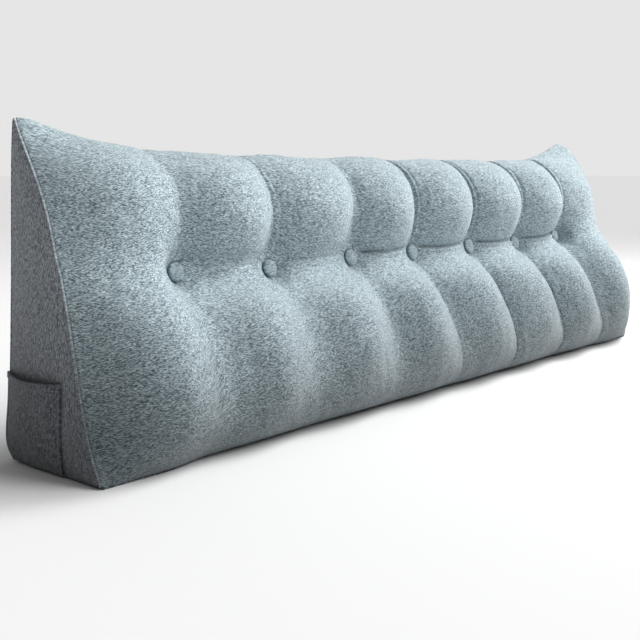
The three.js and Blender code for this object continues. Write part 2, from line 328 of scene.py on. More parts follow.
@dataclass
class Skin:
    """Points, faces and cloth coordinates of a mesh being made."""

    points: list[Array] = field(default_factory=list)
    cloth: list[Array] = field(default_factory=list)
    faces: list[tuple[int, ...]] = field(default_factory=list)
    count: int = 0

    def add(self, points: Array, cloth: Array) -> Array:
        """Adds points with their place on the flat cloth.

        Args:
            points: Points, in any shape ending in three.
            cloth: Their places on the cloth in millimetres, in the same shape ending in two.

        Returns:
            The new points' numbers, in the shape of the points.
        """
        numbers = np.arange(self.count, self.count + points[..., 0].size).reshape(points.shape[:-1])
        self.points.append(points.reshape(-1, 3))
        self.cloth.append(cloth.reshape(-1, 2))
        self.count += numbers.size
        return numbers

    def grid(self, numbers: Array, flip: bool = False) -> None:
        """Adds the four-sided faces of a grid of point numbers."""
        a, b, c, d = numbers[:-1, :-1], numbers[1:, :-1], numbers[1:, 1:], numbers[:-1, 1:]
        corners = (d, c, b, a) if flip else (a, b, c, d)
        self.faces.extend(map(tuple, np.stack(corners, -1).reshape(-1, 4).tolist()))

    def fan(self, ring: Array, hub: int, flip: bool = False) -> None:
        """Closes a ring of point numbers on one hub point."""
        for a, b in zip(ring, np.roll(ring, -1)):
            self.faces.append((hub, int(b), int(a)) if flip else (hub, int(a), int(b)))

    def sheet(self, outer: Array, inner: Array) -> None:
        """Closes two layers of point numbers into one sheet.

        Args:
            outer: The layer that is seen.
            inner: The layer behind it, as the same grid.
        """
        self.grid(outer)
        self.grid(inner, flip=True)
        rims = [
            np.concatenate([layer[0], layer[1:, -1], layer[-1, -2::-1], layer[-2:0:-1, 0]])
            for layer in (outer, inner)
        ]
        self.grid(ring_closed(np.stack(rims)), flip=True)

    def finish(self, name: str, material: Material) -> Piece:
        """Makes the mesh object in the frame.

        Args:
            name: The piece's name.
            material: Its finish.

        Returns:
            The new object.
        """
        mesh = bpy.data.meshes.new(name)
        points = (np.concatenate(self.points) + SHIFT) * MM
        mesh.from_pydata(points.tolist(), [], self.faces)
        corners = np.empty(len(mesh.loops), int)
        mesh.loops.foreach_get("vertex_index", corners)
        flat = np.concatenate(self.cloth)[corners] * MM
        mesh.uv_layers.new(name="cloth").data.foreach_set("uv", flat.ravel())
        mesh.polygons.foreach_set("use_smooth", np.ones(len(mesh.polygons), bool))
        mesh.materials.append(material)
        return placed(name, mesh)


def placed(name: str, data: bpy.types.ID) -> Piece:
    """Puts a new object with this data into the scene."""
    piece = bpy.data.objects.new(name, data)
    bpy.context.scene.collection.objects.link(piece)
    return piece


def ring_closed(numbers: Array) -> Array:
    """Repeats the first column of a grid after its last, so that it closes on itself."""
    return np.concatenate([numbers, numbers[:, :1]], 1)


def ramp(value: Array, start: float, length: float) -> Array:
    """Rises evenly from 0 at a start to 1 a length after it, and stays there."""
    return np.clip((value - start) / length, 0, 1)


def bump_at(distance: Array, width: float) -> Array:
    """A rounded bump of height 1 that is down to 0.37 one width away."""
    return np.exp(-((distance / width) ** 2))


def waves(seed: int, place: Array, length: float, count: int = 7) -> Array:
    """Smooth uneven waves over a surface.

    Args:
        seed: Fixed seed.
        place: Places, ending in three.
        length: Typical wavelength.
        count: Number of waves summed.

    Returns:
        Heights of about -1 to 1.
    """
    random = np.random.default_rng(seed)
    total = np.zeros(place.shape[:-1])
    for _ in range(count):
        way = random.normal(size=3)
        way *= 2 * np.pi / (length * random.uniform(0.7, 1.5)) / np.linalg.norm(way)
        total += np.sin(place @ way + random.uniform(0, 2 * np.pi))
    return total / math.sqrt(count)


def outward(points: Array) -> Array:
    """Outward unit normals of a grid of places along the pillow by height lines."""
    along = np.gradient(points, axis=0)
    up = np.gradient(points, axis=1)
    normal = np.cross(along, up)
    return normal / np.maximum(np.linalg.norm(normal, axis=2, keepdims=True), 1e-9)


def arc(points: Array, start: int) -> Array:
    """Length along the second axis of a grid of points, zero at one of them."""
    steps = np.linalg.norm(np.diff(points, axis=1), axis=2)
    run = np.concatenate([np.zeros((len(points), 1)), np.cumsum(steps, 1)], 1)
    return run - run[:, start : start + 1]


@dataclass(frozen=True)
class ButtonSeat:
    """Where a covered button sits and which way it faces."""

    lift: float = 15

    @property
    def facing(self) -> Array:
        """Unit vector out of the button's face."""
        angle = math.radians(self.lift)
        return np.array([0, -math.cos(angle), math.sin(angle)])

    @property
    def axes(self) -> tuple[Array, Array]:
        """Unit vectors across and up the button's face."""
        across = np.array([1.0, 0, 0])
        return across, np.cross(across, self.facing)

    def centre(self, column: Column) -> Array:
        """Middle of a button's flat back."""
        return np.array([column.x, column.y, column.z])

    def around(self, points: Array, column: Column) -> tuple[Array, ...]:
        """Places points round a button's axis.

        Args:
            points: Points, ending in three.
            column: The button's column.

        Returns:
            Their distances from the axis, their angles round it and their heights along it.
        """
        across, up = self.axes
        way = points - self.centre(column)
        a, b = way @ across, way @ up
        return np.hypot(a, b), np.arctan2(b, a), way @ self.facing


SEAT = ButtonSeat()


@dataclass
class Cover:
    """The filled body in its sewn cover, drawn in at the columns, the waist and the buttons."""

    fine: float = 2.0
    coarse: float = 8.0
    lump: float = 1.6
    crumple: float = 0.45
    gather: float = 0.55
    gather_run: float = 17.0
    dimple: float = 15.5
    funnel: float = 36.0

    def stations(self) -> Array:
        """Places along the pillow that get a cross-section, closest at the columns and seams."""
        places = [-FORM.half]
        anchors = np.array([-FORM.half, *(column.x for column in COLUMNS), FORM.half])
        while places[-1] < FORM.half:
            near = np.abs(anchors - places[-1]).min()
            step = self.fine + (self.coarse - self.fine) * min(1, max(0, near - 22) / 60)
            places.append(places[-1] + step)
        return np.array(places) * FORM.half / places[-1]

    def lines(self) -> Array:
        """Height lines, closest at the waist, and every one of them up to the crown's back."""
        spans = (5, 6, 7, 8, 9, 10, 13, 9, 9, 11, 9, 9, 8, 8, 7, 5, 8, 8, 6, 4)
        runs = [
            index + np.arange(count) / count for index, count in enumerate(spans[: len(ROWS) - 1])
        ]
        return np.concatenate([*runs, [len(ROWS) - 1]])

    def folds(self, points: Array, rows: Array) -> Array:
        """Height of the sewn folds above the plain form.

        Args:
            points: The plain form's grid.
            rows: Its height lines.

        Returns:
            Heights along the outward normal, in millimetres.
        """
        x, z = points[..., 0], points[..., 2]
        height = np.zeros_like(x)
        row = np.broadcast_to(rows, x.shape)
        upper = ramp(row, 7.4, 1.2) * ramp(-row, -15.6, 1.4)
        lower = ramp(-row, -6.2, 2.5) * ramp(row, 0, 1.5)
        for index, column in enumerate(COLUMNS):
            wander = 3.5 * np.sin((row - 7) * 0.55 + index * 1.9) * ramp(np.abs(row - 7), 0, 3)
            off = x - column.x - wander
            side = 10 + 2.5 * np.sin(row * 0.8 + index)
            for crease in UPPER_CREASES:
                line = bump_at(off - side * crease.offset, crease.width)
                height += crease.height * column.fold * upper * line
            height += LOWER_CREASE.height * column.low_fold * lower * bump_at(off, LOWER_CREASE.width)
        for left, right in zip(COLUMNS, COLUMNS[1:]):
            share = np.clip((x - left.x) / (right.x - left.x), 0, 1)
            inside = (x > left.x) & (x < right.x)
            seam = left.z + (right.z - left.z) * share + 6 - 3 * np.sin(np.pi * share)
            taut = left.waist * np.clip(np.minimum(share, 1 - share) * 14, 0, 1) * inside
            front = (row > 4) & (row < 11)
            for crease in WAIST_CREASES:
                line = bump_at(z - seam - crease.offset, crease.width)
                height += crease.height * taut * front * line
        return height

    def gathers(self, points: Array) -> Array:
        """Height of the small wrinkles that run out from the buttons.

        Args:
            points: The plain form's grid.

        Returns:
            Heights along the outward normal.
        """
        height = np.zeros(points.shape[:2])
        for index, column in enumerate(COLUMNS):
            radius, angle, depth = SEAT.around(points, column)
            reach = ramp(radius, 13, 6) * np.exp(-np.maximum(radius - 18, 0) / self.gather_run)
            ripple = np.cos(9 * angle + index) + 0.7 * np.cos(14 * angle + 2.3 * index)
            height += self.gather * ripple * reach * (np.abs(depth) < 60)
        return height

    def sink(self, points: Array) -> Array:
        """Draws the cloth in behind each button.

        Args:
            points: The folded cover's grid.

        Returns:
            The grid with its seats.
        """
        for column in COLUMNS:
            radius, _, depth = SEAT.around(points, column)
            hold = np.clip((self.funnel - radius) / (self.funnel - self.dimple), 0, 1)
            hold = hold * hold * (3 - 2 * hold) * (np.abs(depth) < 70)
            rise = ramp(radius, 14.3, 2.6)
            goal = -2.0 + 3.8 * rise * rise * (3 - 2 * rise) + np.maximum(radius - 17, 0) * 0.4
            points = points + (hold * (goal - depth))[..., None] * SEAT.facing
        return points

    def shape(self, x: Array, rows: Array) -> Array:
        """The cover's outer grid with all its folds.

        Args:
            x: Places along the pillow.
            rows: Height lines.

        Returns:
            An array of places by height lines by three.
        """
        points = FORM.surface(x, rows)
        normal = outward(points)
        from_end = FORM.half - np.abs(points[..., 0])
        free = ramp(from_end, 0, 30) * ramp(rows, 0, 1.2) * ramp(-rows, -15.2, 2)
        height = self.folds(points, rows) * free
        height += self.gathers(points) * free
        height += self.lump * waves(3, points, 120) * free
        height += self.crumple * waves(5, points, 34) * free
        points = points + height[..., None] * normal
        points = self.sink(points)
        points[..., 2] = np.maximum(points[..., 2], FORM.floor)
        return points

    def build(self, material: Material) -> Piece:
        """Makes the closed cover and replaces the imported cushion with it.

        Args:
            material: The cover's cloth.

        Returns:
            The new piece.
        """
        x, rows = self.stations(), self.lines()
        points = self.shape(x, rows)
        base_shares = np.linspace(0, 1, 9)[1:-1]
        base = points[:, -1:] + (points[:, :1] - points[:, -1:]) * base_shares[None, :, None]
        loop = np.concatenate([points, base], 1)
        start = int(np.abs(rows - 7).argmin())
        length = arc(loop, start)
        across = arc(loop.swapaxes(0, 1), len(x) // 2).T
        cloth = np.stack([across, length], -1)
        skin = Skin()
        numbers = skin.add(loop, cloth)
        skin.grid(ring_closed(numbers))
        for side, edge in ((-1, 0), (1, -1)):
            self.cap(skin, loop[edge], numbers[edge], cloth[edge], side)
        piece = skin.finish("cover", material)
        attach(piece, "root")
        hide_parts("cushion")
        return piece

    def cap(self, skin: Skin, edge: Array, numbers: Array, cloth: Array, side: int) -> None:
        """Closes one end of the cover under its end panel.

        Args:
            skin: The cover's mesh.
            edge: The end seam's points.
            numbers: Their numbers.
            cloth: Their places on the cloth.
            side: -1 for the left end, 1 for the right end.
        """
        hub = np.array([side * FORM.half, *FORM.hub])
        outer = numbers
        for ring in (0.985, 0.96, 0.88, 0.74, 0.55, 0.3):
            points = hub + (edge - hub) * ring
            points[:, 0] = side * (FORM.half + FORM.dome(side, points) - 0.3)
            turned = cloth + [side * 100 * (1 - ring), 0]
            inner = skin.add(points, turned)
            skin.grid(ring_closed(np.stack([outer, inner])), flip=side < 0)
            outer = inner
        tip = np.array([[0, *FORM.hub]])
        tip[:, 0] = side * (FORM.half + FORM.dome(side, tip) - 0.3)
        skin.fan(outer, int(skin.add(tip, tip[:, 1:])[0]), flip=side > 0)


@dataclass
class EndPanel:
    """A flat end cloth with its turned seam edge standing up along the cover."""

    side: int
    name: str
    rim: float = 0.8
    lip: float = 1.1
    lip_place: float = 1.0
    band: float = 34
    courses: int = 22
    base: int = 30

    def insets(self) -> Array:
        """Distances in from the panel's edge, closest at its turned seam."""
        fine = np.array([0, 0.35, 0.7, 1.0, 1.3, 1.7, 2.2, 2.8, 3.5, 4.5, 6, 8, 11, 15, 20, 26])
        return np.append(fine, self.band)

    def lines(self) -> Array:
        """Height lines round the panel."""
        return np.linspace(0, len(ROWS) - 1, 8 * (len(ROWS) - 1) + 1)

    def shares(self, edge: Array) -> tuple[Array, Array]:
        """Gives the panel's rings.

        Args:
            edge: The end seam's points.

        Returns:
            Shares of the way from the hub to the seam by ring and point, and how far in they lie.
        """
        reach = np.linalg.norm(edge[:, 1:] - np.array(FORM.hub), axis=1)[None]
        band = 1 - (self.insets()[:, None] + self.rim) / reach
        inner = np.linspace(1, 0, self.courses + 1)[1:-1, None] * band[-1:]
        shares = np.concatenate([band, inner])
        return shares, (1 - shares) * reach - self.rim

    def relief(self, points: Array, inset: Array) -> Array:
        """Height of the seam edge and the cloth's own unevenness above the plain panel.

        Args:
            points: Points on the panel.
            inset: How far in from its edge they lie.

        Returns:
            Heights out from the end.
        """
        seam = self.lip * bump_at(inset - self.lip_place, 0.9)
        groove = 0.5 * bump_at(inset - 3.2, 1.0)
        free = 1 - np.exp(-FORM.dome(self.side, points) / 3)
        pucker = 0.5 * waves(11, points, 24) * free * (1 - free)
        return seam - groove + free * 0.7 * waves(9 + self.side, points, 120) + pucker + 0.7 * free

    def build(self, material: Material, seam_highlight_cloth: Material) -> Piece:
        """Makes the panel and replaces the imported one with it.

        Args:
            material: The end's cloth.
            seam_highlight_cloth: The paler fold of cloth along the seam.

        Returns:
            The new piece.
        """
        edge = FORM.end_edge(self.side, self.lines(), self.base)
        shares, inset = self.shares(edge)
        hub = np.array([self.side * FORM.half, *FORM.hub])
        skin = Skin()
        layers = []
        for lift, raised in ((FORM.gap, 0.0), (FORM.gap + FORM.cloth, 1.0)):
            points = hub + (edge - hub)[None] * shares[..., None]
            height = FORM.dome(self.side, points) + lift
            height = height + raised * self.relief(points, inset)
            points[..., 0] = self.side * (FORM.half + height)
            layers.append(ring_closed(skin.add(points, points[..., [1, 2]])))
            tip = np.array([[self.side * (FORM.half + float(height[-1].mean())), *FORM.hub]])
            middle = int(skin.add(tip, tip[:, [1, 2]])[0])
            skin.fan(layers[-1][-1][:-1], middle, flip=(self.side > 0) == (raised > 0))
        inner, outer = layers
        skin.grid(inner, flip=self.side > 0)
        skin.grid(outer[4:], flip=self.side < 0)
        # The outer rings along the turned seam take the paler cloth, a painted highlight on the fold.
        first = len(skin.faces)
        skin.grid(outer[:5], flip=self.side < 0)
        skin.grid(np.stack([inner[0], outer[0]]), flip=self.side < 0)
        piece = skin.finish(f"{self.name}_cloth", material)
        piece.data.materials.append(seam_highlight_cloth)
        for polygon in piece.data.polygons[first:]:
            polygon.material_index = 1
        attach(piece, "root")
        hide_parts(self.name)
        return piece


@dataclass
class BackPanel:
    """The plain cloth down the back."""

    top: float = 15
    bottom: float = 18

    def build(self, material: Material) -> Piece:
        """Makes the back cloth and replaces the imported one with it.

        Args:
            material: The back's cloth.

        Returns:
            The new piece.
        """
        x = np.linspace(-FORM.half, FORM.half, 181)
        rows = np.linspace(self.top, self.bottom, 31)
        points = FORM.surface(x, rows)
        normal = outward(points)
        uneven = 0.5 + 0.5 * np.clip(waves(17, points, 160), -1, 1)
        skin = Skin()
        cloth = np.stack([points[..., 0], arc(points, 0)], -1)
        inner = skin.add(points + FORM.skin_gap * normal, cloth)
        lift = FORM.skin_gap + FORM.cloth + 0.8 * uneven
        outer = skin.add(points + lift[..., None] * normal, cloth)
        skin.sheet(outer, inner)
        piece = skin.finish("back_cloth", material)
        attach(piece, "root")
        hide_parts("back_panel")
        return piece


@dataclass
class BasePanel:
    """The plain cloth underneath."""

    def build(self, material: Material) -> Piece:
        """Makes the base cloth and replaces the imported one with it.

        Args:
            material: The base's cloth.

        Returns:
            The new piece.
        """
        x = np.linspace(-FORM.half, FORM.half, 181)
        edges = FORM.surface(x, np.array([0.0, len(ROWS) - 1.0]))
        shares = np.linspace(0, 1, 21)[None, :, None]
        flat = edges[:, :1] + (edges[:, 1:] - edges[:, :1]) * shares
        skin = Skin()
        cloth = flat[..., :2]
        layers = []
        for height in (0.0, FORM.cloth):
            points = flat.copy()
            points[..., 2] = height
            layers.append(skin.add(points, cloth))
        low, high = layers
        skin.sheet(high, low)
        piece = skin.finish("base_cloth", material)
        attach(piece, "root")
        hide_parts("base_panel")
        return piece


@dataclass
class Pocket:
    """A patch pocket sewn to the left end on three sides, its hemmed mouth standing open."""

    front: float = 71
    mouth: float = 119
    bottom: float = 3.3
    seam: float = 6
    stand: float = 10
    run: float = 10
    hem: float = 10
    hem_cloth: float = 3.4
    width: float = 110
    seam_groove: Crease = Crease(-0.8, 5, 1.6)
    hem_groove: Crease = Crease(-0.7, 1, 0.9)
    stitch_inset: float = 4.5

    def back_edge(self, z: Array) -> Array:
        """The end outline's back edge at a height."""
        seam = FORM.surface(np.array([-FORM.half]), np.linspace(14, len(ROWS) - 1, 61))[0]
        return np.interp(z, seam[::-1, 2], seam[::-1, 1])

    def face(self, z: Array, share: Array) -> Array:
        """The pocket's inner face.

        Args:
            z: Heights.
            share: Shares of the width, front seam to back seam.

        Returns:
            An array of heights by shares by three.
        """
        back = self.back_edge(z)[:, None] - 2
        y = self.front + (back - self.front) * share[None]
        height = np.broadcast_to(z[:, None], y.shape)
        side = np.maximum(0, np.minimum(y - self.front, back - y) - self.seam)
        open_side = np.sin(np.clip(side / (back - self.front - 2 * self.seam), 0, 0.5) * np.pi) ** 0.8
        open_up = 0.25 + 0.75 * ramp(height, self.bottom, self.mouth - self.bottom) ** 1.3
        open_up = open_up * (1 - np.exp((self.bottom - height) / self.run))
        panel = FORM.gap + FORM.cloth + FORM.dome(-1, np.stack([y, y, height], -1))
        out = panel + 1.6 + self.stand * open_side * open_up
        sag = 3.0 * np.sin(np.pi * share[None]) * ramp(height, 80, 40)
        return np.stack([-FORM.half - out, y, height - sag], -1)

    def build(self, material: Material, thread: Material) -> list[Piece]:
        """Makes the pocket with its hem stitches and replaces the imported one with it.

        Args:
            material: The pocket's cloth.
            thread: The stitches' finish.

        Returns:
            The pocket and its stitches.
        """
        z = np.concatenate([
            np.linspace(self.bottom, self.mouth - self.hem - 1, 46),
            self.mouth - self.hem + np.array([-0.5, 0, 0.5]),
            np.linspace(self.mouth - self.hem + 1.5, self.mouth, 9),
        ])
        share = np.linspace(0, 1, 61)
        inner = self.face(z, share)
        folded = np.clip((z - (self.mouth - self.hem)) / 1.0, 0, 1)[:, None]
        thick = FORM.cloth + (self.hem_cloth - FORM.cloth) * folded + np.zeros_like(inner[..., 0])
        edge = np.minimum(share, 1 - share)[None] * self.width
        thick = thick + 0.5 * waves(23, inner, 45) * ramp(edge, 0, 12)
        above_fold = z[:, None] - (self.mouth - self.hem)
        for groove, place in ((self.seam_groove, edge), (self.hem_groove, above_fold)):
            thick = thick + groove.height * bump_at(place - groove.offset, groove.width)
        outer = inner.copy()
        outer[..., 0] -= thick
        skin = Skin()
        cloth = inner[..., [1, 2]]
        inside, outside = skin.add(inner, cloth), skin.add(outer, cloth)
        skin.sheet(outside, inside)
        piece = skin.finish("patch_pocket", material)
        hem = self.face(np.array([self.mouth - self.hem + 1.2]), np.linspace(0.02, 0.98, 60))[0]
        hem[:, 0] -= self.hem_cloth - 0.2
        sides = []
        for at in (self.stitch_inset, -self.stitch_inset):
            run = np.linspace(self.bottom + 2, self.mouth - 1, 50)
            width = self.back_edge(run) - 2 - self.front
            line = np.array([
                self.face(np.array([height]), np.array([at % span / span]))[0, 0]
                for height, span in zip(run, width)
            ])
            line[:, 0] -= FORM.cloth - 0.3
            sides.append(line)
        stitches = StitchRun("pocket_stitches").build([hem, *sides], thread)
        for made in (piece, stitches):
            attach(made, "root")
        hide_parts("pocket")
        return [piece, stitches]


@dataclass
class StitchRun:
    """Lock stitches laid along paths."""

    name: str
    pitch: float = 3.6
    length: float = 2.7
    radius: float = 0.38

    def build(self, paths: list[Array], thread: Material) -> Piece:
        """Lays stitches along the paths.

        Args:
            paths: Runs of points in the form's millimetres.
            thread: The thread's finish.

        Returns:
            One plain mesh of all the stitches.
        """
        points = [tuple((point + SHIFT) * MM) for path in paths for point in path]
        edges, start = [], 0
        for path in paths:
            edges += [(start + step, start + step + 1) for step in range(len(path) - 1)]
            start += len(path)
        mesh = bpy.data.meshes.new(f"{self.name}_path")
        mesh.from_pydata(points, edges, [])
        path_piece = placed(f"{self.name}_path", mesh)
        tree, sockets = self.tree(thread)
        modifier = path_piece.modifiers.new("stitches", "NODES")
        modifier.node_group = tree
        for name, value in (("Pitch", self.pitch), ("Length", self.length), ("Radius", self.radius)):
            modifier[sockets[name]] = value * MM
        graph = bpy.context.evaluated_depsgraph_get()
        made = bpy.data.meshes.new_from_object(path_piece.evaluated_get(graph))
        path_piece.modifiers.clear()
        bpy.data.objects.remove(path_piece)
        made.name = self.name
        return placed(self.name, made)

    def tree(self, thread: Material) -> tuple[Tree, dict[str, str]]:
        """Builds the tree that turns edges into rows of stitches.

        Args:
            thread: The thread's finish.

        Returns:
            The tree and its size inputs' identifiers by name.
        """
        tree = bpy.data.node_groups.new(f"{self.name}_tree", "GeometryNodeTree")
        tree.interface.new_socket("Geometry", in_out="INPUT", socket_type="NodeSocketGeometry")
        names = ("Pitch", "Length", "Radius")
        kind = {"in_out": "INPUT", "socket_type": "NodeSocketFloat"}
        sockets = {name: tree.interface.new_socket(name, **kind).identifier for name in names}
        tree.interface.new_socket("Geometry", in_out="OUTPUT", socket_type="NodeSocketGeometry")
        given = add_node(tree, "NodeGroupInput").outputs
        curve = add_node(tree, "GeometryNodeMeshToCurve", {"Mesh": given["Geometry"]})
        spans = {"Curve": curve, "Length": given["Pitch"]}
        spaced = add_node(tree, "GeometryNodeResampleCurve", spans, mode="LENGTH")
        bead = add_node(tree, "GeometryNodeMeshUVSphere", {"Segments": 8, "Rings": 6, "Radius": 0.5})
        tangent = add_node(tree, "GeometryNodeInputTangent")
        turn = add_node(tree, "FunctionNodeAlignRotationToVector", {"Vector": tangent}, axis="X")
        width = add_node(tree, "ShaderNodeMath", {0: given["Radius"], 1: 2.0}, operation="MULTIPLY")
        size = add_node(
            tree, "ShaderNodeCombineXYZ", {"X": given["Length"], "Y": width, "Z": width}
        )
        beads = {"Points": spaced, "Instance": bead, "Rotation": turn, "Scale": size}
        laid = add_node(tree, "GeometryNodeInstanceOnPoints", beads)
        real = add_node(tree, "GeometryNodeRealizeInstances", {"Geometry": laid})
        dressed = add_node(tree, "GeometryNodeSetMaterial", {"Geometry": real, "Material": thread})
        add_node(tree, "NodeGroupOutput", {"Geometry": dressed})
        return tree, sockets


@dataclass
class Buttons:
    """The seven cloth-covered buttons."""

    radius: float = 13.6
    height: float = 8.0
    sides: int = 56

    def profile(self) -> Array:
        """Half section from the middle of the back, round the edge, to the crown."""
        r, h = self.radius, self.height
        turn = np.linspace(-0.5 * np.pi, 0.42 * np.pi, 9)
        edge = np.stack([r - 2.6 + 2.6 * np.cos(turn), 3.0 + 3.0 * np.sin(turn)], 1)
        share = np.linspace(0, 1, 10)[1:]
        start = edge[-1]
        rise = start[1] + (h - start[1]) * np.sin(share * np.pi / 2)
        dome = np.stack([start[0] * (1 - share), rise], 1)
        return np.concatenate([edge, dome[:-1]])

    def build(self, material: Material) -> list[Piece]:
        """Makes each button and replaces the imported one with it.

        Args:
            material: The buttons' cloth.

        Returns:
            The seven buttons, left to right.
        """
        across, up = SEAT.axes
        profile = self.profile()
        made = []
        for index, column in enumerate(COLUMNS):
            turn = np.linspace(0, 2 * np.pi, self.sides, endpoint=False)
            pucker = 1 + 0.012 * np.cos(11 * turn + index)
            skin = Skin()
            grid, cloth = [], []
            for radius, height in profile:
                ease = min(1, radius / self.radius)
                r = radius * (1 + (pucker - 1) * ease)
                flat = np.stack([r * np.cos(turn), r * np.sin(turn)], 1)
                middle = SEAT.centre(column) + height * SEAT.facing
                grid.append(middle + flat[:, :1] * across + flat[:, 1:] * up)
                cloth.append(flat * (1 + 0.02 * height) + [37.0 * index, 0])
            numbers = ring_closed(skin.add(np.stack(grid), np.stack(cloth)))
            skin.grid(numbers)
            back = skin.add(SEAT.centre(column)[None], np.array([[37.0 * index, 0]]))
            crown = skin.add(
                (SEAT.centre(column) + self.height * SEAT.facing)[None], np.array([[37.0 * index, 0]])
            )
            skin.fan(numbers[0][:-1], int(back[0]))
            skin.fan(numbers[-1][:-1], int(crown[0]), flip=True)
            piece = skin.finish(f"covered_button_{index + 1}", material)
            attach(piece, "root")
            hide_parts(f"button_{index + 1}")
            made.append(piece)
        return made


# Finishes.


def linear(code: str) -> Colour:
    """Turns an sRGB hex colour into the linear colour that a socket takes."""
    parts = [int(code[at : at + 2], 16) / 255 for at in (1, 3, 5)]
    steps = [p / 12.92 if p <= 0.04045 else ((p + 0.055) / 1.055) ** 2.4 for p in parts]
    return (*steps, 1.0)


def add_node(
    tree: Tree, kind: str, inputs: dict[str | int, object] | None = None, **settings: object
) -> bpy.types.Node:
    """Adds a node to a tree.

    Args:
        tree: The tree.
        kind: The node's type name.
        inputs: Values, output sockets, or nodes for their first output, by input name or number.
        **settings: The node's own properties.

    Returns:
        The new node.
    """
    node = tree.nodes.new(kind)
    for name, value in settings.items():
        setattr(node, name, value)
    for name, value in (inputs or {}).items():
        if isinstance(value, bpy.types.Node):
            value = value.outputs[0]
        if isinstance(value, Socket):
            tree.links.new(value, node.inputs[name])
        else:
            node.inputs[name].default_value = value
    return node


def add_range(
    tree: Tree, value: Socket, span: Pair, result: Pair, kind: str = "SMOOTHSTEP"
) -> Socket:
    """Maps one range of values onto another and holds it at both ends.

    Args:
        tree: The tree.
        value: The value's socket.
        span: The range that it comes in.
        result: The range that it is mapped onto.
        kind: How it runs between them.

    Returns:
        The result's socket.
    """
    ends = {"From Min": span[0], "From Max": span[1], "To Min": result[0], "To Max": result[1]}
    node = add_node(tree, "ShaderNodeMapRange", {"Value": value, **ends}, interpolation_type=kind)
    return node.outputs[0]


